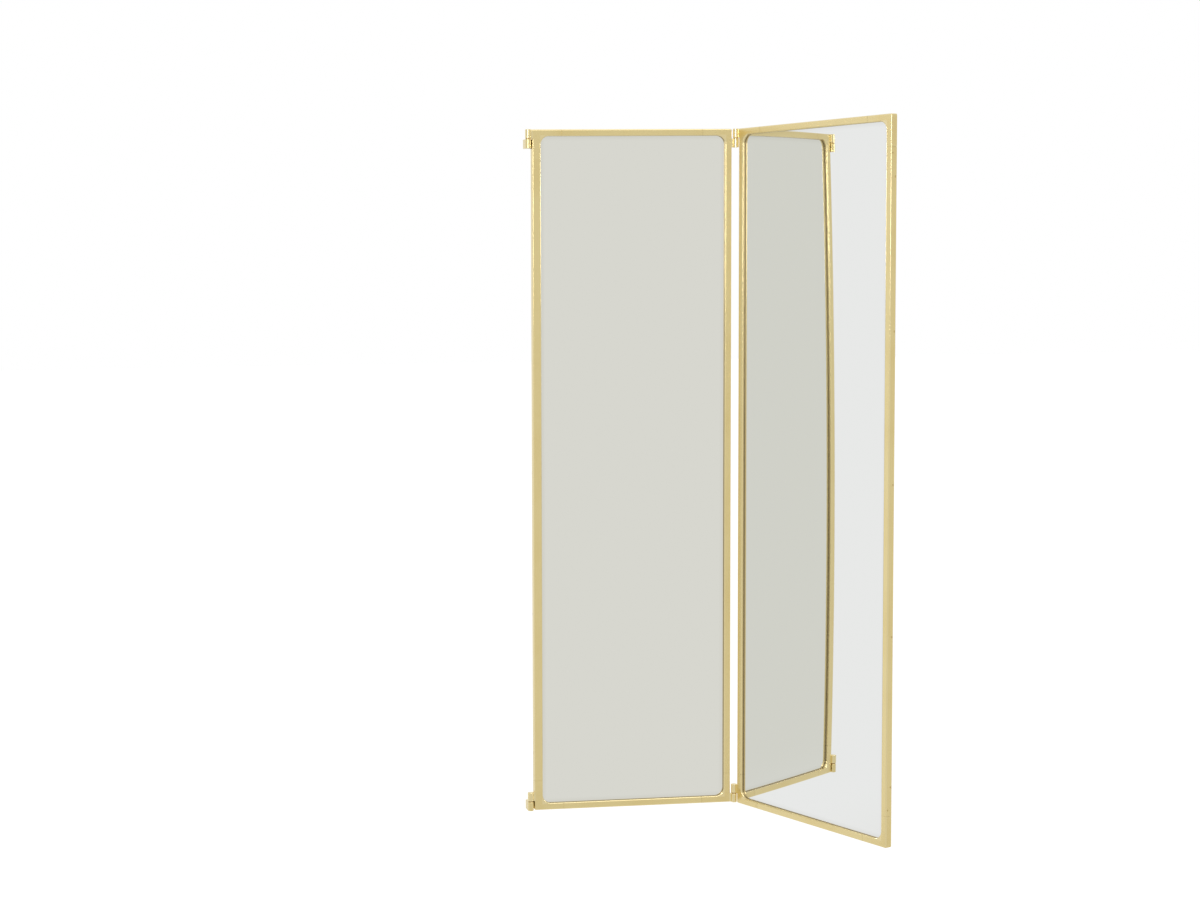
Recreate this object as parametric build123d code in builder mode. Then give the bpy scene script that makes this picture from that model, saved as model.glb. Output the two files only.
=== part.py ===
"""Wall mirror: two tall brass-framed leaves, lift-off hinges and two wall brackets.

Millimetres. +X runs along the wall to the right, +Y into the wall, +Z up. The origin is on the
wall, at the centre of the lower bracket's four screw holes. The inner leaf hangs on the wall
brackets and stands parallel to the wall; the outer leaf hangs on the inner leaf and is swung
towards the room.
"""

from build123d import *
import os

# Overall sizes of a leaf, and how far the outer leaf is swung from in line with the inner one
leaf_height = 1500.0
inner_leaf_width = 448.0
swing_at_rest = 66.9

# Brass section of the frame: a front flange, a side wall, and a lip down to the glass; the stile
# at the wall hinge is broader than the rest
face_width = 14.5
wall_stile_width = 19.0
section_wall = 1.5
lip_depth = 6.0
edge_round = 2.5

# Cast corner pieces, flush with the section, and the flat tongues that enter it
corner_leg = 66.0
corner_round = 3.5
sight_radius = 19.0
joint_gap = 0.3
tongue_length = 25.0
tongue_clearance = 0.1

# Layers from the lip to the back: tape, glass, card, board
tape_thickness = 0.5
tape_width = 2.4
tape_setback = 0.3
tape_gap = 0.5
glass_thickness = 3.0
glass_clearance = 1.5
glass_corner_round = 3.0
glass_arris = 0.4
card_thickness = 0.5
board_thickness = 4.5
board_clearance = 0.25
board_setback = 0.5
board_edge_chamfer = 0.5

# Lift-off hinges: the axis lies in the frame's front plane, beside the leaf's edge
axis_offset = 9.0
knuckle_radius = 6.5
knuckle_height = 19.6
knuckle_chamfer = 0.8
knuckle_gap = 1.6
web_overlap = 0.5
fold_clearance = 1.3

# Upright pins and washers
pin_radius = 3.0
pin_seat = 16.0
pin_reach = 14.0
pin_chamfer = 0.6
pin_end_room = 1.0
pin_seat_clearance = 0.02
pin_running_clearance = 0.08
washer_radius = 5.6
washer_thickness = 1.5
washer_bore_clearance = 0.15

# Wall brackets
arm_clearance = 3.0
arm_fillet = 4.0
plate_gap = 3.0
plate_thickness = 5.0
plate_start = 14.0
plate_width = 54.0
plate_height = 70.0
plate_end_setback = 3.0
plate_corner_round = 6.0
wall_hole_radius = 2.75
wall_sink_radius = 5.0
wall_hole_spacing_x = 30.0
wall_hole_spacing_z = 46.0

# Countersunk screws: into the tongues, and into the edge of the back board
sink_angle = 90.0
tongue_screw_radius = 1.0
tongue_screw_head_radius = 1.9
tongue_screw_length = 8.0
tongue_screw_tip = 0.4
board_screw_radius = 1.25
board_screw_head_radius = 2.4
board_screw_length = 14.0
board_screw_tip = 2.0
board_screws_per_stile = 5
board_screws_per_rail = 2
board_screw_end_distance = 60.0
screw_clearance = 0.05
screw_point_radius = 0.3
screw_slot_width = 0.6
screw_slot_depth = 0.6

# Places that follow from the sizes above
glass_front = lip_depth + tape_thickness
card_front = glass_front + glass_thickness
board_front = card_front + card_thickness
frame_depth = board_front + board_thickness + board_setback
outer_leaf_width = inner_leaf_width - (knuckle_radius + fold_clearance - axis_offset)
hinge_height = 2 * knuckle_height + knuckle_gap
bottom_hinge = 0.0
top_hinge = leaf_height - hinge_height
wall_distance = frame_depth + plate_gap + plate_thickness
plate_front = wall_distance - plate_thickness
plate_centre_x = plate_start + plate_width / 2
lower_plate_z = plate_end_setback + plate_height / 2
upper_plate_z = leaf_height - lower_plate_z
board_screw_depth = board_front + board_thickness / 2
tongue_screw_depth = (edge_round + lip_depth) / 2
web_depth = min(lip_depth, knuckle_radius)
arm_half_width = axis_offset - arm_clearance

# A leaf's own frame has its origin on its hinge axis at the bottom, x along the leaf, y into it
inner_place = Location((-plate_centre_x, -wall_distance, -lower_plate_z))
outer_place = inner_place * Location(
    (inner_leaf_width + 2 * axis_offset, 0, 0), (0, 0, -swing_at_rest)
)


def leaf_plane(place, origin, x_dir, z_dir):
    """A plane given in a leaf's own frame, placed in the object's frame."""
    return Plane(place * Plane(origin=origin, x_dir=x_dir, z_dir=z_dir).location)


def depth_direction(place):
    """The direction from a leaf's front into its depth."""
    return leaf_plane(place, (0, 0, 0), (1, 0, 0), (0, 1, 0)).z_dir


def even_places(first, last, count):
    """Evenly spaced places from first to last."""
    step = (last - first) / (count - 1)
    return [first + step * i for i in range(count)]


def save(builder, name):
    """Label a finished piece and write its file."""
    builder.part.label = name
    export_step(builder.part, f"parts/{name}.step")


def screw_planes(place, width, side, kind):
    """Planes on one side of a leaf, facing outward, from which its screws of one kind go in."""
    outward = {"left": (-1, 0, 0), "right": (1, 0, 0), "bottom": (0, 0, -1), "top": (0, 0, 1)}
    low_x = axis_offset
    high_x = axis_offset + width
    if kind == "tongue":
        end = corner_leg + joint_gap + tongue_length / 2
        depth = tongue_screw_depth
        counts = {"stile": 2, "rail": 2}
    else:
        end = corner_leg + board_screw_end_distance
        depth = board_screw_depth
        counts = {"stile": board_screws_per_stile, "rail": board_screws_per_rail}
    if side in ("left", "right"):
        x = low_x if side == "left" else high_x
        heights = even_places(end, leaf_height - end, counts["stile"])
        points = [(x, depth, z) for z in heights]
    else:
        z = 0 if side == "bottom" else leaf_height
        runs = even_places(low_x + end, high_x - end, counts["rail"])
        points = [(x, depth, z) for x in runs]
    return [leaf_plane(place, point, (0, 1, 0), outward[side]) for point in points]


def all_screw_planes(place, width, kind):
    """Planes of all the screws of one kind on a leaf."""
    sides = ("left", "right", "bottom", "top")
    return [plane for side in sides for plane in screw_planes(place, width, side, kind)]


def frame_member(place, width, side, face):
    """A straight stile or rail: its section, extruded between two corner pieces."""
    start = corner_leg + joint_gap
    low_x = axis_offset
    high_x = axis_offset + width
    stile_length = leaf_height - 2 * start
    rail_length = width - 2 * start
    origin, inward, along, length = {
        "left": ((low_x, 0, start), (1, 0, 0), (0, 0, 1), stile_length),
        "right": ((high_x, 0, leaf_height - start), (-1, 0, 0), (0, 0, -1), stile_length),
        "bottom": ((high_x - start, 0, 0), (0, 0, 1), (-1, 0, 0), rail_length),
        "top": ((low_x + start, 0, leaf_height), (0, 0, -1), (1, 0, 0), rail_length),
    }[side]
    with BuildPart() as member:
        with BuildSketch(leaf_plane(place, origin, inward, along)) as section:
            with BuildLine():
                Polyline(
                    (0, 0),
                    (face, 0),
                    (face, lip_depth),
                    (face - section_wall, lip_depth),
                    (face - section_wall, section_wall),
                    (section_wall, section_wall),
                    (section_wall, frame_depth),
                    (0, frame_depth),
                    close=True,
                )
            make_face()
            fillet(section.vertices().group_by(Axis.Y)[0], edge_round)
            fillet(section.vertices().group_by(Axis.Y)[1], edge_round - section_wall)
        extrude(amount=length)
        with Locations(*screw_planes(place, width, side, "tongue")):
            CounterSinkHole(
                tongue_screw_radius + screw_clearance,
                tongue_screw_head_radius + screw_clearance,
                2 * section_wall,
                sink_angle,
            )
        with Locations(*screw_planes(place, width, side, "board")):
            CounterSinkHole(
                board_screw_radius + screw_clearance,
                board_screw_head_radius + screw_clearance,
                2 * section_wall,
                sink_angle,
            )
    return member


def knuckle_outline():
    """Half of a knuckle's outline, from its axis out, standing on its lower end."""
    return [
        (0, 0),
        (knuckle_radius - knuckle_chamfer, 0),
        (knuckle_radius, knuckle_chamfer),
        (knuckle_radius, knuckle_height - knuckle_chamfer),
        (knuckle_radius - knuckle_chamfer, knuckle_height),
        (0, knuckle_height),
    ]


def knuckle_heights(is_bottom, level):
    """Lower and upper end of a hinge's upper or lower knuckle."""
    base = bottom_hinge if is_bottom else top_hinge
    if level == "upper":
        return base + knuckle_height + knuckle_gap, base + hinge_height
    return base, base + knuckle_height


def corner_casting(place, width, is_left, is_bottom, stile_face, own_level=None):
    """A cast corner piece; own_level says which knuckle of a hinge it carries, if any."""
    corner_x = axis_offset if is_left else axis_offset + width
    corner_z = 0 if is_bottom else leaf_height
    sx = 1 if is_left else -1
    sz = 1 if is_bottom else -1
    into = depth_direction(place)
    # In the corner's own plane, x runs along the rail and y along the stile, both inward
    face_plane = leaf_plane(place, (corner_x, 0, corner_z), (sx, 0, 0), (0, -sx * sz, 0))
    tongue_depth = (section_wall + lip_depth) / 2
    rail_tongue = (corner_x + sx * corner_leg, tongue_depth, corner_z + sz * face_width / 2)
    stile_tongue = (corner_x + sx * stile_face / 2, tongue_depth, corner_z + sz * corner_leg)
    tongues = [
        (leaf_plane(place, rail_tongue, (0, 1, 0), (sx, 0, 0)), face_width),
        (leaf_plane(place, stile_tongue, (0, 1, 0), (0, 0, sz)), stile_face),
    ]
    tongue_end = corner_leg + joint_gap + tongue_length
    own_screw_planes = [
        plane
        for plane in all_screw_planes(place, width, "tongue")
        if max(tuple(face_plane.to_local_coords(plane.origin))) < tongue_end
    ]
    with BuildPart() as casting:
        # Front plate, with the rounded sight corner
        with BuildSketch(face_plane) as plate:
            with BuildLine():
                Polyline(
                    (0, 0),
                    (corner_leg, 0),
                    (corner_leg, face_width),
                    (stile_face, face_width),
                    (stile_face, corner_leg),
                    (0, corner_leg),
                    close=True,
                )
            make_face()
            fillet(plate.vertices().sort_by_distance((stile_face, face_width))[0], sight_radius)
            fillet(plate.vertices().sort_by_distance((0, 0))[0], corner_round)
        extrude(amount=lip_depth, dir=into)
        # Side walls, down to the back
        with BuildSketch(face_plane) as walls:
            with BuildLine():
                Polyline(
                    (0, 0),
                    (corner_leg, 0),
                    (corner_leg, section_wall),
                    (section_wall, section_wall),
                    (section_wall, corner_leg),
                    (0, corner_leg),
                    close=True,
                )
            make_face()
            fillet(walls.vertices().sort_by_distance((0, 0))[1], corner_round - section_wall)
            fillet(walls.vertices().sort_by_distance((0, 0))[0], corner_round)
        extrude(amount=frame_depth, dir=into)
        # Rounded front edges, all but the two that meet the stile and the rail
        front_face = casting.faces().sort_by(Axis(face_plane.origin, into))[0]
        long_edges = front_face.edges().filter_by(
            lambda e: max(tuple(face_plane.to_local_coords(e.center()))) < corner_leg - joint_gap
        )
        fillet(long_edges, edge_round)
        # Tongues that enter the rail and the stile behind their front flange
        for tongue_plane, face in tongues:
            with BuildSketch(tongue_plane):
                RectangleRounded(
                    lip_depth - section_wall - 2 * tongue_clearance,
                    face - 2 * section_wall - 2 * tongue_clearance,
                    edge_round - section_wall,
                )
            extrude(amount=joint_gap + tongue_length)
        with Locations(*own_screw_planes):
            Hole(tongue_screw_radius + screw_clearance, tongue_screw_length + tongue_screw_tip)
        if own_level:
            own_low, own_high = knuckle_heights(is_bottom, own_level)
            axis_x = corner_x - sx * axis_offset
            # Web from the hinge axis to the corner, flush with the front; at the end of the leaf
            # it is rounded like the rail, whose edge it continues
            web_plane = leaf_plane(place, (axis_x, 0, corner_z), (0, 1, 0), (sx, 0, 0))
            web_middle = sx * ((own_low + own_high) / 2 - corner_z)
            with BuildSketch(web_plane) as web:
                with Locations((web_depth / 2, web_middle)):
                    Rectangle(web_depth, knuckle_height)
                if is_bottom == (own_level == "lower"):
                    fillet(web.vertices().sort_by_distance((0, 0))[0], edge_round)
            extrude(amount=axis_offset + corner_round + web_overlap)
            # Knuckle
            knuckle_plane = leaf_plane(place, (axis_x, 0, own_low), (1, 0, 0), (0, -1, 0))
            with BuildSketch(knuckle_plane):
                with BuildLine():
                    Polyline(*knuckle_outline(), close=True)
                make_face()
            revolve(axis=Axis(knuckle_plane.origin, (0, 0, 1)))
            # Bore: the lower knuckle holds its pin fast, the upper one turns on it
            if own_level == "upper":
                mouth = leaf_plane(place, (axis_x, 0, own_low), (1, 0, 0), (0, 0, -1))
                bore_radius = pin_radius + pin_running_clearance
                bore_depth = pin_reach + pin_end_room
            else:
                mouth = leaf_plane(place, (axis_x, 0, own_high), (1, 0, 0), (0, 0, 1))
                bore_radius = pin_radius + pin_seat_clearance
                bore_depth = pin_seat + pin_end_room
            with Locations(mouth):
                Hole(bore_radius, bore_depth)
    return casting


def panel(place, width, front, thickness, clearance, arris):
    """A flat layer inside a leaf's frame, with rounded corners and eased edges."""
    into = depth_direction(place)
    middle = (axis_offset + width / 2, front, leaf_height / 2)
    inset = 2 * (section_wall + clearance)
    with BuildPart() as layer:
        with BuildSketch(leaf_plane(place, middle, (1, 0, 0), (0, -1, 0))):
            RectangleRounded(width - inset, leaf_height - inset, glass_corner_round)
        extrude(amount=thickness, dir=into)
        if arris:
            broad_faces = layer.faces().filter_by(Axis((0, 0, 0), into))
            chamfer(broad_faces.edges(), arris)
    return layer


def back_board(place, width):
    """The board that closes a leaf, with pilot holes in its edge for its screws."""
    board = panel(
        place, width, board_front, board_thickness, board_clearance, board_edge_chamfer
    )
    with board:
        with Locations(*all_screw_planes(place, width, "board")):
            Hole(board_screw_radius + screw_clearance, board_screw_length + board_screw_tip)
    return board


def glazing_tape(place, width, left_face):
    """Four strips of tape between the sight lip and the glass."""
    left = axis_offset + left_face - tape_setback
    right = axis_offset + width - face_width + tape_setback
    bottom = face_width - tape_setback
    top = leaf_height - bottom
    middle = ((left + right) / 2, lip_depth, leaf_height / 2)
    with BuildPart() as tape:
        with BuildSketch(leaf_plane(place, middle, (1, 0, 0), (0, -1, 0))):
            with GridLocations(right - left + tape_width, 0, 2, 1):
                Rectangle(tape_width, top - bottom + 2 * tape_width)
            with GridLocations(0, top - bottom + tape_width, 1, 2):
                Rectangle(right - left - 2 * tape_gap, tape_width)
        extrude(amount=tape_thickness, dir=depth_direction(place))
    return tape


def countersunk_screw(radius, head_radius, length, tip):
    """A slotted countersunk screw; its head is flush with the XY plane and it points down."""
    head_depth = head_radius - radius
    with BuildPart() as screw:
        with BuildSketch(Plane.XZ):
            with BuildLine():
                Polyline(
                    (0, 0),
                    (head_radius, 0),
                    (radius, -head_depth),
                    (radius, tip - length),
                    (screw_point_radius, -length),
                    (0, -length),
                    close=True,
                )
            make_face()
        revolve(axis=Axis.Z)
        with BuildSketch(Plane.XY):
            Rectangle(2 * head_radius, screw_slot_width)
        extrude(amount=-screw_slot_depth, mode=Mode.SUBTRACT)
    return screw.part


def screw_set(planes, radius, head_radius, length, tip):
    """Copies of one screw, each placed by its own plane."""
    one_screw = countersunk_screw(radius, head_radius, length, tip)
    with BuildPart() as screws:
        with Locations(*planes):
            add(one_screw)
    return screws


def wall_bracket(is_bottom):
    """Knuckle, arm and wall plate in one casting."""
    base = bottom_hinge if is_bottom else top_hinge
    plate_z = lower_plate_z if is_bottom else upper_plate_z
    foot_length = plate_start + plate_corner_round + arm_half_width
    with BuildPart() as bracket:
        # Arm and foot, drawn from above
        with BuildSketch(leaf_plane(inner_place, (0, 0, base), (1, 0, 0), (0, 0, 1))) as arm:
            with Locations((0, wall_distance / 2)):
                Rectangle(2 * arm_half_width, wall_distance)
            with Locations((foot_length / 2 - arm_half_width, wall_distance - plate_thickness / 2)):
                Rectangle(foot_length, plate_thickness)
            fillet(
                arm.vertices().sort_by_distance((arm_half_width, plate_front))[0],
                arm_fillet,
            )
        extrude(amount=knuckle_height)
        # Knuckle
        knuckle_plane = leaf_plane(inner_place, (0, 0, base), (1, 0, 0), (0, -1, 0))
        with BuildSketch(knuckle_plane):
            with BuildLine():
                Polyline(*knuckle_outline(), close=True)
            make_face()
        revolve(axis=Axis(knuckle_plane.origin, (0, 0, 1)))
        # Wall plate
        plate_middle = (plate_centre_x, plate_front, plate_z)
        plate_plane = leaf_plane(inner_place, plate_middle, (1, 0, 0), (0, -1, 0))
        with BuildSketch(plate_plane):
            RectangleRounded(plate_width, plate_height, plate_corner_round)
        extrude(amount=-plate_thickness)
        with Locations(plate_plane):
            with GridLocations(wall_hole_spacing_x, wall_hole_spacing_z, 2, 2):
                CounterSinkHole(wall_hole_radius, wall_sink_radius, plate_thickness, sink_angle)
        # Bore that holds the pin
        mouth = leaf_plane(inner_place, (0, 0, base + knuckle_height), (1, 0, 0), (0, 0, 1))
        with Locations(mouth):
            Hole(pin_radius + pin_seat_clearance, pin_seat + pin_end_room)
    return bracket


def hinge_pin(axis_x, is_bottom):
    """An upright pin, from its seat in the lower knuckle to its reach in the upper one."""
    base = bottom_hinge if is_bottom else top_hinge
    foot = (axis_x, 0, base + knuckle_height - pin_seat)
    with BuildPart() as pin:
        with BuildSketch(leaf_plane(inner_place, foot, (1, 0, 0), (0, 0, 1))):
            Circle(pin_radius)
        extrude(amount=pin_seat + knuckle_gap + pin_reach)
        chamfer(pin.edges().filter_by(GeomType.CIRCLE), pin_chamfer)
    return pin


def washer_pair(axis_x):
    """The washers of an upper and a lower hinge, each lying on its lower knuckle."""
    planes = [
        leaf_plane(inner_place, (axis_x, 0, base + knuckle_height), (1, 0, 0), (0, 0, 1))
        for base in (bottom_hinge, top_hinge)
    ]
    with BuildPart() as washers:
        with BuildSketch(*planes):
            Circle(washer_radius)
            Circle(pin_radius + washer_bore_clearance, mode=Mode.SUBTRACT)
        extrude(amount=washer_thickness)
    return washers


def make_leaf(name, place, width, left_face, own_levels):
    """Every piece of one leaf; own_levels gives the knuckle that its left and right corners carry."""
    faces = {"left": left_face, "right": face_width, "bottom": face_width, "top": face_width}
    for side, member in (
        ("left", "left_stile"),
        ("right", "right_stile"),
        ("bottom", "bottom_rail"),
        ("top", "top_rail"),
    ):
        save(frame_member(place, width, side, faces[side]), f"{name}_{member}")
    for is_left, across in ((True, "left"), (False, "right")):
        for is_bottom, up in ((True, "bottom"), (False, "top")):
            stile_face = faces[across]
            own_level = own_levels[across]
            casting = corner_casting(place, width, is_left, is_bottom, stile_face, own_level)
            save(casting, f"{name}_{up}_{across}_corner")
    save(glazing_tape(place, width, left_face), f"{name}_glazing_tape")
    glass = panel(place, width, glass_front, glass_thickness, glass_clearance, glass_arris)
    save(glass, f"{name}_glass")
    card = panel(place, width, card_front, card_thickness, glass_clearance, 0)
    save(card, f"{name}_backing_card")
    save(back_board(place, width), f"{name}_back_board")
    tongue_screws = screw_set(
        all_screw_planes(place, width, "tongue"),
        tongue_screw_radius,
        tongue_screw_head_radius,
        tongue_screw_length,
        tongue_screw_tip,
    )
    save(tongue_screws, f"{name}_tongue_screws")
    board_screws = screw_set(
        all_screw_planes(place, width, "board"),
        board_screw_radius,
        board_screw_head_radius,
        board_screw_length,
        board_screw_tip,
    )
    save(board_screws, f"{name}_board_screws")


def make_hinges():
    """The wall brackets, and the pins and washers of all four hinges."""
    leaf_axis_x = inner_leaf_width + 2 * axis_offset
    for is_bottom, up in ((True, "lower"), (False, "upper")):
        save(wall_bracket(is_bottom), f"{up}_wall_bracket")
        save(hinge_pin(0, is_bottom), f"{up}_wall_hinge_pin")
        save(hinge_pin(leaf_axis_x, is_bottom), f"{up}_leaf_hinge_pin")
    save(washer_pair(0), "wall_hinge_washers")
    save(washer_pair(leaf_axis_x), "leaf_hinge_washers")


os.makedirs("parts", exist_ok=True)
inner_levels = {"left": "upper", "right": "lower"}
outer_levels = {"left": "upper", "right": None}
make_leaf("inner_leaf", inner_place, inner_leaf_width, wall_stile_width, inner_levels)
make_leaf("outer_leaf", outer_place, outer_leaf_width, face_width, outer_levels)
make_hinges()
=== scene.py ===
# %% [markdown]
# # Folding wall mirror
# A tall wall mirror of two brass-framed leaves. The inner leaf hangs on two wall brackets and the
# outer leaf hangs on the inner one, swung into the room. Every solid piece comes ready from the
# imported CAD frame, so this file is about finishes, light and the camera.

# %% The frame
import math

import bmesh
import bpy
from mathutils import Matrix, Vector

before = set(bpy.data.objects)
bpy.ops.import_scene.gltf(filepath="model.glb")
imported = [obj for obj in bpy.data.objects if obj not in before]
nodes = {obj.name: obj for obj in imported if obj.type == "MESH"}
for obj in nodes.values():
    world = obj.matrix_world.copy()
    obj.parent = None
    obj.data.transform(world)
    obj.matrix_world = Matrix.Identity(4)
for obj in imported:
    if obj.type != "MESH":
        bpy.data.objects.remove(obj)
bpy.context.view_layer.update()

# %% [markdown]
# ## Where each leaf stands
# A finish on a real frame follows the piece it is on: drawn lines run along a stile and edges wear
# on both sides of it. The pattern could be placed in the room's axes, but the outer leaf is
# turned. So each leaf keeps its own frame: x along the leaf from its hinge axis, y into it, z up.
# All lengths are in metres.

# %% Leaf frames
LEAF_HEIGHT = 1.5
LEAF_START = 0.009  # from the hinge axis to the leaf's edge
FACE_WIDTH = 0.0145
SWING = math.radians(66.9)
LEAVES = {
    "inner_leaf": {
        "axis": (-0.041, -0.023, -0.038),
        "turn": 0.0,
        "width": 0.448,
        "left_face": 0.019,
    },
    "outer_leaf": {
        "axis": (0.425, -0.023, -0.038),
        "turn": -SWING,
        "width": 0.4492,
        "left_face": FACE_WIDTH,
    },
}
for name, leaf in LEAVES.items():
    print(name, "stands at", leaf["axis"], "turned", round(math.degrees(leaf["turn"]), 1))

# %% [markdown]
# ## Arithmetic on sockets
# A finish is built from masks and noises that are added, scaled and compared. Each step could be a
# node placed by hand, but long sums are easier to read as sums. This class wraps one output of a
# node, so that an expression on it adds the Math nodes, and node() adds any other node.

# %% The socket class
# Where a Mix node keeps its sockets for values and for colours.
FACTOR, FIRST_VALUE, SECOND_VALUE, FIRST_COLOUR, SECOND_COLOUR = 0, 2, 3, 6, 7
COLOUR_OUTPUT = 2


class Socket:
    """One output of a node. Arithmetic on it adds Math nodes, and node() adds any other kind."""

    def __init__(self, tree, output=None):
        self.tree = tree
        self.output = output

    def node(self, kind, settings=None, inputs=None, output=0):
        """Adds a node: its settings first, then the values or links of its sockets."""
        made = self.tree.nodes.new("ShaderNode" + kind)
        for key, value in (settings or {}).items():
            setattr(made, key, value)
        for key, value in (inputs or {}).items():
            if isinstance(value, Socket):
                self.tree.links.new(value.output, made.inputs[key])
            else:
                made.inputs[key].default_value = value
        return Socket(self.tree, made.outputs[output] if made.outputs else None)

    def math(self, operation, first, second=0.0):
        return self.node("Math", {"operation": operation}, {0: first, 1: second})

    def __add__(self, other):
        return self.math("ADD", self, other)

    def __radd__(self, other):
        return self.math("ADD", other, self)

    def __sub__(self, other):
        return self.math("SUBTRACT", self, other)

    def __rsub__(self, other):
        return self.math("SUBTRACT", other, self)

    def __mul__(self, other):
        return self.math("MULTIPLY", self, other)

    def __rmul__(self, other):
        return self.math("MULTIPLY", other, self)

    def least(self, other):
        return self.math("MINIMUM", self, other)

    def most(self, other):
        return self.math("MAXIMUM", self, other)

    def rise(self, low, high):
        """0 below low, 1 above high, and smooth between."""
        settings = {"interpolation_type": "SMOOTHSTEP"}
        return self.node("MapRange", settings, {"Value": self, "From Min": low, "From Max": high})

    def swing(self, amount):
        """How far a noise is from its middle, times amount."""
        return (self - 0.5) * amount

    def mix(self, first, second):
        """A colour between two, with this socket as the factor."""
        inputs = {FACTOR: self, FIRST_COLOUR: first, SECOND_COLOUR: second}
        return self.node("Mix", {"data_type": "RGBA"}, inputs, COLOUR_OUTPUT)

    def blend(self, first, second):
        """A value between two, with this socket as the factor."""
        inputs = {FACTOR: self, FIRST_VALUE: first, SECOND_VALUE: second}
        return self.node("Mix", {"data_type": "FLOAT"}, inputs)


# %% [markdown]
# ## Patterns that every finish uses
# Noise gives the uneven polish of metal, the pores of wood and the fibres of card. A stretched
# noise gives lines: its coordinates are divided more finely across the lines than along them.

# %% Helpers for finishes


def start_material(name):
    """A new material with an empty tree, and its object coordinates."""
    material = bpy.data.materials.new(name)
    material.use_nodes = True
    material.node_tree.nodes.clear()
    place = Socket(material.node_tree).node("TexCoord", output="Object")
    return material, place


def colour(red, green, blue):
    return (red, green, blue, 1.0)


def stretched(place, x, y, z):
    """Coordinates divided into x, y and z steps per metre."""
    return place.node("VectorMath", {"operation": "MULTIPLY"}, {0: place, 1: (x, y, z)})


def noise(place, scale=1.0, detail=3.0, roughness=0.5):
    """A smooth noise around 0.5, with scale features in one unit of the coordinates."""
    inputs = {"Vector": place, "Scale": scale, "Detail": detail, "Roughness": roughness}
    return place.node("TexNoise", None, inputs)


def axes(place):
    """The three coordinates apart."""
    split = place.node("SeparateXYZ", None, {"Vector": place})
    return [Socket(place.tree, output) for output in split.output.node.outputs]


def finish_material(place, values, height, depth):
    """A Principled surface with these values; height in metres times depth makes its bump."""
    bump = place.node("Bump", None, {"Height": height, "Distance": depth, "Strength": 1.0})
    surface = place.node("BsdfPrincipled", None, {**values, "Normal": bump})
    place.node("OutputMaterial", None, {"Surface": surface})


def finish_metal(place, base, polish, height, depth):
    values = {"Base Color": base, "Metallic": 1.0, "Roughness": polish}
    finish_material(place, values, height, depth)


def in_leaf(place, leaf):
    """Object coordinates turned into a leaf's own frame."""
    inputs = {"Vector": place, "Location": leaf["axis"], "Rotation": (0.0, 0.0, leaf["turn"])}
    return place.node("Mapping", {"vector_type": "TEXTURE"}, inputs)


def edge_distance(x, z, leaf):
    """How far a point is inside a leaf's outline."""
    end = LEAF_START + leaf["width"]
    return (x - LEAF_START).least(end - x).least(z.least(LEAF_HEIGHT - z))


def sight_distance(x, z, leaf):
    """How far a point is inside the opening that shows the glass."""
    end = LEAF_START + leaf["width"]
    level = (x - LEAF_START - leaf["left_face"]).least(end - FACE_WIDTH - x)
    return level.least((z - FACE_WIDTH).least(LEAF_HEIGHT - FACE_WIDTH - z))


print("helpers ready")

# %% [markdown]
# ## Brass section
# Stiles and rails are drawn brass, polished and then rubbed dull by cleaning. A plain metal shader
# looks like plastic film at this size, so three things are added: hair-fine lines along the piece
# from the die and the polishing belt, slow changes in polish and colour, and brighter edges where
# cloths and hands have rubbed. The recess at the lip by the glass is also painted darker, as
# painted shade.

# %% Where a frame is rubbed
PALE_BRASS = colour(0.900, 0.755, 0.400)
WARM_BRASS = colour(0.830, 0.660, 0.300)
BRIGHT_BRASS = colour(0.950, 0.830, 0.520)
# Painted shade: the recess at the lip by the glass is darkened towards this brown brass.
RECESS_SHADE_BRASS = colour(0.540, 0.420, 0.215)

# Each pair is where a mask starts to rise and where it is full, in metres.
OUTER_EDGE = (0.0006, 0.0030)
SIGHT_EDGE = (-0.0026, -0.0004)
WORN_DEPTH = (0.0005, 0.0035)
RECESS_DEPTH = (0.0020, 0.0042)
RECESS_INSET = (0.0050, 0.0080)
WORN_COLOUR = 0.6
WORN_POLISH = 0.05
RECESS_DULLNESS = 0.2


def edge_masks(place, leaf):
    """Where hands rub a leaf's front edges, and the recess at the glass that is painted in shade.
    """
    x, y, z = axes(place)
    inside = edge_distance(x, z, leaf)
    sight = sight_distance(x, z, leaf)
    rubbed = (1 - inside.rise(*OUTER_EDGE)).most(sight.rise(*SIGHT_EDGE))
    worn = rubbed * (1 - y.rise(*WORN_DEPTH))
    recess = y.rise(*RECESS_DEPTH) * inside.rise(*RECESS_INSET)
    return worn, recess


def rub(base, polish, worn, recess):
    """The colour and polish with brighter worn edges, and a recess painted darker as shade and
    made rougher.
    """
    base = (worn * WORN_COLOUR).mix(base, BRIGHT_BRASS)
    # The recess is painted darker as painted shade; its added roughness is real dullness.
    base = recess.mix(base, RECESS_SHADE_BRASS)
    return base, polish - worn * WORN_POLISH + recess * RECESS_DULLNESS


print("rubbed edges reach", OUTER_EDGE[1], "in from the outline")

# %% Brass section
UPRIGHT_LINES = (2600.0, 2600.0, 14.0)
LEVEL_LINES = (14.0, 2600.0, 2600.0)
SECTION_POLISH = 0.215
SECTION_BUMP = 0.0000012


def frame_brass(name, leaf, lines):
    """Drawn brass; lines are its steps per metre along x, y and z."""
    material, place = start_material(name)
    local = in_leaf(place, leaf)
    worn, recess = edge_masks(local, leaf)
    drawn = noise(stretched(local, *lines), detail=2.0)
    slow = noise(local, scale=6.0, detail=4.0, roughness=0.6)
    smudge = noise(local, scale=38.0, detail=5.0, roughness=0.65)
    tarnish = slow.rise(0.40, 0.75) * 0.55 + smudge.rise(0.55, 0.80) * 0.15
    polish = SECTION_POLISH + smudge.swing(0.05) + drawn.swing(0.06)
    base = tarnish.mix(PALE_BRASS, WARM_BRASS)
    base, polish = rub(base, polish, worn * (0.55 + slow * 0.6), recess)
    finish_metal(place, base, polish, drawn, SECTION_BUMP)
    return material


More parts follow.
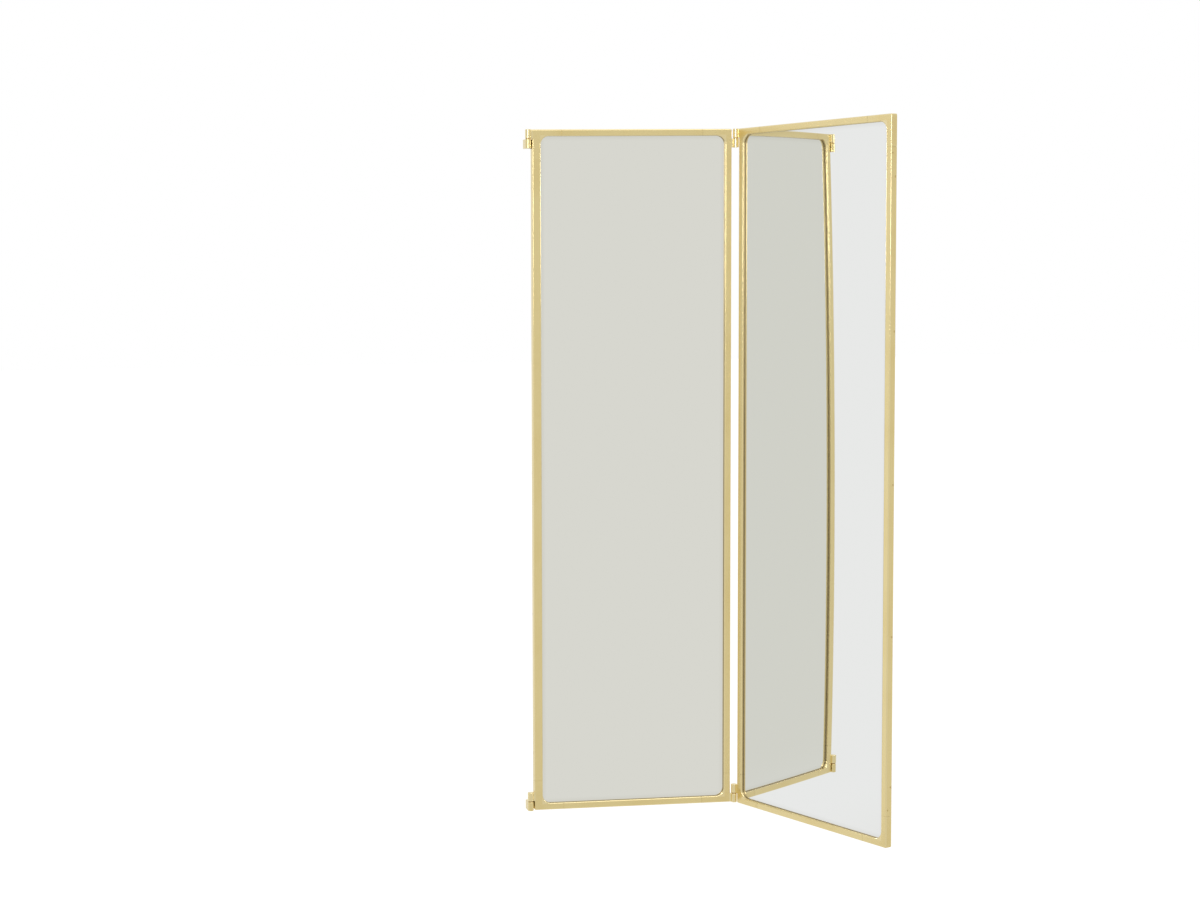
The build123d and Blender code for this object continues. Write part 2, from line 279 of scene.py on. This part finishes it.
section = {
    (leaf, run): frame_brass(f"{leaf}_{run}_brass", LEAVES[leaf], lines)
    for leaf in LEAVES
    for run, lines in (("upright", UPRIGHT_LINES), ("level", LEVEL_LINES))
}
print(len(section), "section finishes")

# %% [markdown]
# ## Brass castings
# The corner pieces and wall brackets are sand castings, filed and brushed to match the section.
# They keep a little of the sand's grain and a slightly warmer colour, which an even, fine bump and
# three noises give. The same worn edges and the same painted shade in the recess by the glass as
# on the section carry on round the corner.

# %% Brass castings
CASTING_POLISH = 0.235
CASTING_BUMP = 0.000006


def cast_brass(name, leaf=None):
    """Brushed cast brass; with a leaf, its outer edge is worn and its recess painted in shade, as
    the section's are.
    """
    material, place = start_material(name)
    grain = noise(place, scale=1400.0, roughness=0.7)
    slow = noise(place, scale=14.0, detail=4.0, roughness=0.6)
    smudge = noise(place, scale=55.0, detail=5.0, roughness=0.65)
    tarnish = slow.rise(0.40, 0.75) * 0.6 + grain.rise(0.5, 0.8) * 0.10
    polish = CASTING_POLISH + smudge.swing(0.05) + grain.swing(0.05)
    base = tarnish.mix(PALE_BRASS, WARM_BRASS)
    if leaf:
        worn, recess = edge_masks(in_leaf(place, leaf), leaf)
        # With a leaf, the recess by the glass is painted darker here too, as painted shade.
        base, polish = rub(base, polish, worn * (0.45 + slow * 0.9), recess)
    finish_metal(place, base, polish, grain, CASTING_BUMP)
    return material


casting = {leaf: cast_brass(f"{leaf}_cast_brass", LEAVES[leaf]) for leaf in LEAVES}
casting["wall"] = cast_brass("bracket_cast_brass")
print(len(casting), "casting finishes")

# %% [markdown]
# ## Mirror glass
# A mirror is clear glass with silver and paint on its back. Real refraction through 3 mm of glass
# would double every edge and cost many samples, and at this distance the eye sees one surface. So
# the front is a near-perfect metal, the ground edge is green-grey glass, and the back is the paint
# that guards the silver. Along the frame the silver is painted a little darker, as painted shade.
#
# Tall glass is never quite flat. The sheet's shape stays flat, and a slow height over it turns the
# normal: hardly at all in the inner leaf, and by up to 2.4 degrees at the foot of the outer one.
# There it also makes up for a camera that stands nearer than the photograph's, so that the
# reflected leaf has its full height.

# %% Mirror glass
SILVER = colour(0.925, 0.935, 0.925)
# Painted shade: along the frame the silver is mixed towards this darker grey.
FRAME_SHADE_SILVER = colour(0.84, 0.845, 0.82)
GLASS_EDGE = colour(0.20, 0.32, 0.27)
BACK_PAINT = colour(0.30, 0.31, 0.33)
BACK_PAINT_THIN = colour(0.38, 0.36, 0.35)

FACING = (0.90, 0.97)  # how squarely a face looks along the leaf's depth
FRAME_SHADE_BAND = (-0.001, 0.012)
EDGE_DULLNESS = 0.18
PAINT_DULLNESS = 0.62
SILVER_DULLNESS = 0.012
FRAME_SHADE_DULLNESS = 0.02

CROWN_LEVEL = 0.933
NEARLY_FLAT = {"bow": -0.0006, "head_lean": 0.0, "foot_lean": 0.0, "crown": 0.0}
CROWNED = {"bow": 0.0076, "head_lean": 0.012, "foot_lean": 0.024, "crown": 0.018}


def sheet_height(x, z, bow, head_lean, foot_lean, crown):
    """How far a sheet stands out of true. The leans turn its normal sideways at head and foot, bow
    turns it more at mid height, and crown tips it up below CROWN_LEVEL and down above it."""
    middle = (z - LEAF_HEIGHT / 2) * (2 / LEAF_HEIGHT)
    above = z - CROWN_LEVEL
    lean = foot_lean + z * ((head_lean - foot_lean) / LEAF_HEIGHT)
    sideways = ((1 - middle * middle) * bow + lean) * (x - LEAF_START)
    return sideways + above * above * crown


def mirror_glass(name, leaf, out_of_true):
    material, place = start_material(name)
    local = in_leaf(place, leaf)
    x, _, z = axes(local)
    facing = place.node("TexCoord", output="Normal")
    inputs = {"Vector": facing, "Angle": -leaf["turn"]}
    _, into, _ = axes(place.node("VectorRotate", {"rotation_type": "Z_AXIS"}, inputs))
    front = (0 - into).rise(*FACING)
    back = into.rise(*FACING)
    shade_noise = noise(local, scale=5.0, detail=4.0, roughness=0.6)
    # A band along the frame, painted darker and a little rougher as painted shade, made uneven by
    # a noise.
    frame_shade = (1 - sight_distance(x, z, leaf).rise(*FRAME_SHADE_BAND)) * (0.55 + shade_noise * 0.6)
    paint = noise(local, scale=70.0, detail=4.0).mix(BACK_PAINT, BACK_PAINT_THIN)
    base = front.mix(back.mix(GLASS_EDGE, paint), frame_shade.mix(SILVER, FRAME_SHADE_SILVER))
    polish = back.blend(EDGE_DULLNESS, PAINT_DULLNESS)
    polish = front.blend(polish, SILVER_DULLNESS + frame_shade * FRAME_SHADE_DULLNESS)
    height = sheet_height(x, z, **out_of_true) * front
    values = {"Base Color": base, "Metallic": front, "Roughness": polish}
    finish_material(place, values, height, 1.0)
    return material


glass = {
    "inner_leaf": mirror_glass("inner_mirror_glass", LEAVES["inner_leaf"], NEARLY_FLAT),
    "outer_leaf": mirror_glass("outer_mirror_glass", LEAVES["outer_leaf"], CROWNED),
}
print(len(glass), "glass finishes")

# %% [markdown]
# ## Back board
# The board that closes each leaf is thin plywood, stained and waxed. Its veneer shows long grain
# with darker late wood, short open pores, and a sheen that follows them. A sine wave would draw
# stripes, so the growth rings are noises stretched along the grain: broad, banded and fine, all
# bent by one slow noise. A shorter stretched noise gives the pores.

# %% Back board
LIGHT_STAIN = colour(0.330, 0.180, 0.085)
DARK_STAIN = colour(0.150, 0.074, 0.034)
PORE = colour(0.070, 0.038, 0.022)
WAX = {"Coat Weight": 0.15, "Coat Roughness": 0.3}
GRAIN_BEND = 0.10
BOARD_POLISH = 0.42
BOARD_BUMP = 0.00006


def stained_board(name, leaf, offset):
    """Stained veneer; offset moves its pattern, so that no two boards look alike."""
    material, place = start_material(name)
    local = in_leaf(place, leaf)
    shifted = place.node("VectorMath", {"operation": "ADD"}, {0: local, 1: offset})
    x, y, z = axes(shifted)
    bend = noise(stretched(shifted, 4.0, 4.0, 1.1), detail=2.0)
    wander = place.node("CombineXYZ", None, {0: x + bend * GRAIN_BEND, 1: y, 2: z})
    broad = noise(stretched(wander, 34.0, 34.0, 0.5), detail=2.0)
    band = noise(stretched(wander, 130.0, 130.0, 1.2), roughness=0.6)
    fine = noise(stretched(wander, 900.0, 900.0, 7.0), roughness=0.6)
    pores = noise(stretched(wander, 1500.0, 1500.0, 60.0), detail=2.0).rise(0.60, 0.70)
    blotch = noise(shifted, scale=6.0, detail=4.0, roughness=0.6)
    late = broad.swing(1.1) + band.swing(1.2) + fine.swing(0.7) + blotch.swing(0.4)
    base = (late + 0.45).rise(0.0, 0.9).mix(LIGHT_STAIN, DARK_STAIN)
    base = (pores * 0.6).mix(base, PORE)
    polish = BOARD_POLISH + blotch.swing(0.2) + pores * 0.2
    values = {"Base Color": base, "Roughness": polish, **WAX}
    finish_material(place, values, fine * 0.5 - pores, BOARD_BUMP)
    return material


board = {
    "inner_leaf": stained_board("inner_back_board_wood", LEAVES["inner_leaf"], (0.3, 0.0, 0.2)),
    "outer_leaf": stained_board("outer_back_board_wood", LEAVES["outer_leaf"], (1.7, 0.0, 5.2)),
}
print(len(board), "board finishes")

# %% [markdown]
# ## Card and tape
# Between glass and board lies millboard, and between the lip and the glass a thin foam tape. Both
# are nearly hidden, but both still get their own make-up: flecked fibres for the card, and small
# burst cells for the foam.

# %% Card and tape
PALE_CARD = colour(0.60, 0.52, 0.41)
DARK_CARD = colour(0.46, 0.39, 0.30)
FLECK = colour(0.26, 0.21, 0.16)
CARD_POLISH = 0.82
CARD_BUMP = 0.00008
DARK_FOAM = colour(0.022, 0.022, 0.024)
PALE_FOAM = colour(0.055, 0.055, 0.058)
CELLS_PER_METRE = 2200.0
FOAM_POLISH = 0.80
FOAM_BUMP = 0.0001


def millboard(name):
    material, place = start_material(name)
    fibres = noise(stretched(place, 900.0, 900.0, 220.0), detail=4.0, roughness=0.7)
    flecks = noise(place, scale=420.0, detail=2.0).rise(0.62, 0.72)
    base = (flecks * 0.6).mix(fibres.mix(PALE_CARD, DARK_CARD), FLECK)
    values = {"Base Color": base, "Roughness": CARD_POLISH + fibres * 0.12}
    finish_material(place, values, fibres, CARD_BUMP)
    return material


def foam_tape(name):
    material, place = start_material(name)
    cells = place.node("TexVoronoi", None, {"Vector": place, "Scale": CELLS_PER_METRE})
    base = cells.rise(0.1, 0.8).mix(DARK_FOAM, PALE_FOAM)
    values = {"Base Color": base, "Roughness": FOAM_POLISH + cells * 0.12}
    finish_material(place, values, cells, FOAM_BUMP)
    return material


card = millboard("backing_card_fibre")
tape = foam_tape("glazing_tape_foam")
print("card and tape finishes")

# %% [markdown]
# ## Screws, pins and washers
# Small turned parts show the tool that cut them. Pins are ground, so their marks run round the
# upright axis. Washers are turned flat, so theirs are rings about the hinge axis. Screws are
# tumbled brass, clouded with a browner colour.

# %% Screws, pins and washers
SCREW_BRASS = colour(0.78, 0.63, 0.30)
BROWN_BRASS = colour(0.62, 0.46, 0.19)
PALE_STEEL = colour(0.60, 0.60, 0.60)
DARK_STEEL = colour(0.50, 0.50, 0.51)
PALE_BRONZE = colour(0.56, 0.38, 0.20)
DARK_BRONZE = colour(0.40, 0.25, 0.13)
RINGS_PER_METRE = 26000.0  # in radians of their sine
TOOL_BUMP = 0.00001


def turned_brass(name):
    material, place = start_material(name)
    grain = noise(place, scale=2600.0, roughness=0.6)
    cloud = noise(place, scale=300.0)
    base = cloud.rise(0.35, 0.70).mix(SCREW_BRASS, BROWN_BRASS)
    finish_metal(place, base, 0.26 + cloud * 0.12, grain, TOOL_BUMP)
    return material


def ground_steel(name):
    material, place = start_material(name)
    marks = noise(stretched(place, 60.0, 60.0, 9000.0), detail=2.0)
    cloud = noise(place, scale=260.0)
    base = cloud.mix(PALE_STEEL, DARK_STEEL)
    finish_metal(place, base, 0.20 + marks * 0.15, marks, TOOL_BUMP)
    return material


def turned_bronze(name, axis):
    """Bronze with turning rings about an upright axis."""
    material, place = start_material(name)
    inputs = {"Vector": place, "Location": axis}
    flat = stretched(place.node("Mapping", {"vector_type": "TEXTURE"}, inputs), 1.0, 1.0, 0.0)
    radius = place.node("VectorMath", {"operation": "LENGTH"}, {0: flat}, "Value")
    wave = place.node("Math", {"operation": "SINE"}, {0: radius * RINGS_PER_METRE})
    rings = wave * 0.5 + 0.5
    cloud = noise(place, scale=500.0)
    base = cloud.mix(PALE_BRONZE, DARK_BRONZE)
    finish_metal(place, base, 0.34 + rings * 0.08, rings, TOOL_BUMP)
    return material


screws = turned_brass("screw_brass")
pins = ground_steel("pin_steel")
washers = {
    "wall_hinge": turned_bronze("wall_washer_bronze", LEAVES["inner_leaf"]["axis"]),
    "leaf_hinge": turned_bronze("leaf_washer_bronze", LEAVES["outer_leaf"]["axis"]),
}
print("small parts' finishes")

# %% [markdown]
# ## Giving each piece its finish
# Every node keeps its CAD shape. Its name says what it is, so the finish follows from the name.

# %% Finishes onto nodes


def finish_of(name):
    leaf = next((key for key in LEAVES if name.startswith(key)), "wall")
    if name.endswith("stile"):
        return section[leaf, "upright"]
    if name.endswith("rail"):
        return section[leaf, "level"]
    if name.endswith(("corner", "bracket")):
        return casting[leaf]
    if name.endswith("glass"):
        return glass[leaf]
    if name.endswith("back_board"):
        return board[leaf]
    if name.endswith("card"):
        return card
    if name.endswith("tape"):
        return tape
    if name.endswith("screws"):
        return screws
    if name.endswith("pin"):
        return pins
    return washers[name.removesuffix("_washers")]


for name, node in nodes.items():
    for slot in node.material_slots:
        slot.material = finish_of(name)
print("finished", len(nodes), "nodes with", len({finish_of(n).name for n in nodes}), "finishes")

# %% [markdown]
# ## Floor
# The mirror hangs a quarter of a metre above the floor. A plain pale floor carries its soft
# shadow. The camera sees the floor as white as the backdrop, and the mirrors see the same greys as
# in the room, so that no horizon line shows in the glass.

# %% Floor
FLOOR_LEVEL = -0.30
FLOOR_REACH = 30.0
FLOOR_PALE = colour(0.90, 0.90, 0.90)
FLOOR_GLOW = 0.36
FLOOR_FADE = (-0.9, 0.4)  # from the room's grey to its white, towards the wall
WHITE = colour(1.0, 1.0, 1.0)
ROOM_GREY = colour(0.735, 0.725, 0.675)
ROOM_WHITE = colour(0.870, 0.870, 0.870)

grid = bmesh.new()
bmesh.ops.create_grid(grid, x_segments=1, y_segments=1, size=FLOOR_REACH)
bmesh.ops.translate(grid, verts=grid.verts, vec=(0.0, 0.0, FLOOR_LEVEL))
floor_mesh = bpy.data.meshes.new("floor")
grid.to_mesh(floor_mesh)
grid.free()
floor = bpy.data.objects.new("floor", floor_mesh)
bpy.context.scene.collection.objects.link(floor)

floor_material, place = start_material("pale_floor")
rays = place.node("LightPath").output.node.outputs
camera_ray = Socket(place.tree, rays["Is Camera Ray"])
glossy_ray = Socket(place.tree, rays["Is Glossy Ray"])
pale = place.node("BsdfDiffuse", None, {"Color": FLOOR_PALE})
glow = place.node("Emission", None, {"Color": WHITE, "Strength": camera_ray * FLOOR_GLOW})
lit = place.node("AddShader", None, {0: pale, 1: glow})
_, towards_wall, _ = axes(place)
reflected = towards_wall.rise(*FLOOR_FADE).mix(ROOM_GREY, ROOM_WHITE)
grey = place.node("Emission", None, {"Color": reflected, "Strength": 1.0})
shown = place.node("MixShader", None, {0: glossy_ray, 1: lit, 2: grey})
place.node("OutputMaterial", None, {"Surface": shown})
floor_mesh.materials.append(floor_material)
print("floor at", FLOOR_LEVEL)

# %% [markdown]
# ## Room
# The camera sees a white backdrop. The mirrors and the brass see a softly lit room: warm grey on
# the camera's side, and paler behind and beside the mirror.

# %% Room
ROOM_FADE = (-0.15, 0.30)  # from grey to white, as a direction turns towards the wall

world = bpy.data.worlds.new("room")
world.use_nodes = True
world.node_tree.nodes.clear()
bpy.context.scene.world = world
root = Socket(world.node_tree)
_, towards_wall, _ = axes(root.node("TexCoord", output="Generated"))
room = towards_wall.rise(*ROOM_FADE).mix(ROOM_GREY, ROOM_WHITE)
seen = root.node("LightPath", output="Is Camera Ray").mix(room, WHITE)
backdrop = root.node("Background", None, {"Color": seen, "Strength": 1.0})
root.node("OutputWorld", None, {"Surface": backdrop})
print("room made")

# %% [markdown]
# ## Lamps
# Soft studio light: a tall soft lamp at the front left, which draws a highlight down the rounded
# edges, and a broad weak lamp overhead.

# %% Lamps


def soft_lamp(name, spot, aim, size, power):
    lamp = bpy.data.lights.new(name, "AREA")
    lamp.shape = "RECTANGLE"
    lamp.size, lamp.size_y = size
    lamp.energy = power
    holder = bpy.data.objects.new(name, lamp)
    holder.location = spot
    holder.rotation_euler = (Vector(aim) - Vector(spot)).to_track_quat("-Z", "Y").to_euler()
    holder.visible_camera = False
    bpy.context.scene.collection.objects.link(holder)


soft_lamp("tall_lamp", spot=(-1.25, -2.70, 1.75), aim=(0.2, 0.0, 1.0), size=(0.5, 1.3), power=14.0)
soft_lamp("top_lamp", spot=(0.3, -1.6, 3.2), aim=(0.3, 0.0, 0.6), size=(2.4, 1.6), power=14.0)

# %% [markdown]
# ## Camera
# The photograph looks at the mirror from the left, at standing eye height. A small sideways shift
# keeps the uprights nearly parallel while the mirror stays right of the middle.

# %% Camera
IMAGE_WIDTH = 1200
FOCAL_PIXELS = 2086.8
SENSOR_WIDTH = 36.0
CAMERA_PLACE = (-1.0920, -4.4863, 1.1428)
YAW, PITCH, ROLL = 6.966, 4.013, -0.667
SHIFT_X, SHIFT_Y = 0.25, -0.02
FARTHEST = 100.0

lens = bpy.data.cameras.new("camera")
lens.sensor_width = SENSOR_WIDTH
lens.lens = FOCAL_PIXELS / IMAGE_WIDTH * lens.sensor_width
lens.shift_x, lens.shift_y = SHIFT_X, SHIFT_Y
lens.clip_end = FARTHEST
camera = bpy.data.objects.new("camera", lens)
camera.location = CAMERA_PLACE
turn = Matrix.Rotation(math.radians(-YAW), 3, "Z")
tilt = Matrix.Rotation(math.radians(90.0 - PITCH), 3, "X")
roll = Matrix.Rotation(math.radians(ROLL), 3, "Z")
camera.rotation_euler = (turn @ tilt @ roll).to_euler()
bpy.context.scene.collection.objects.link(camera)
bpy.context.scene.camera = camera
bpy.context.scene.view_settings.view_transform = "Standard"
print("camera at", tuple(round(v, 3) for v in camera.location), "lens", round(lens.lens, 2))
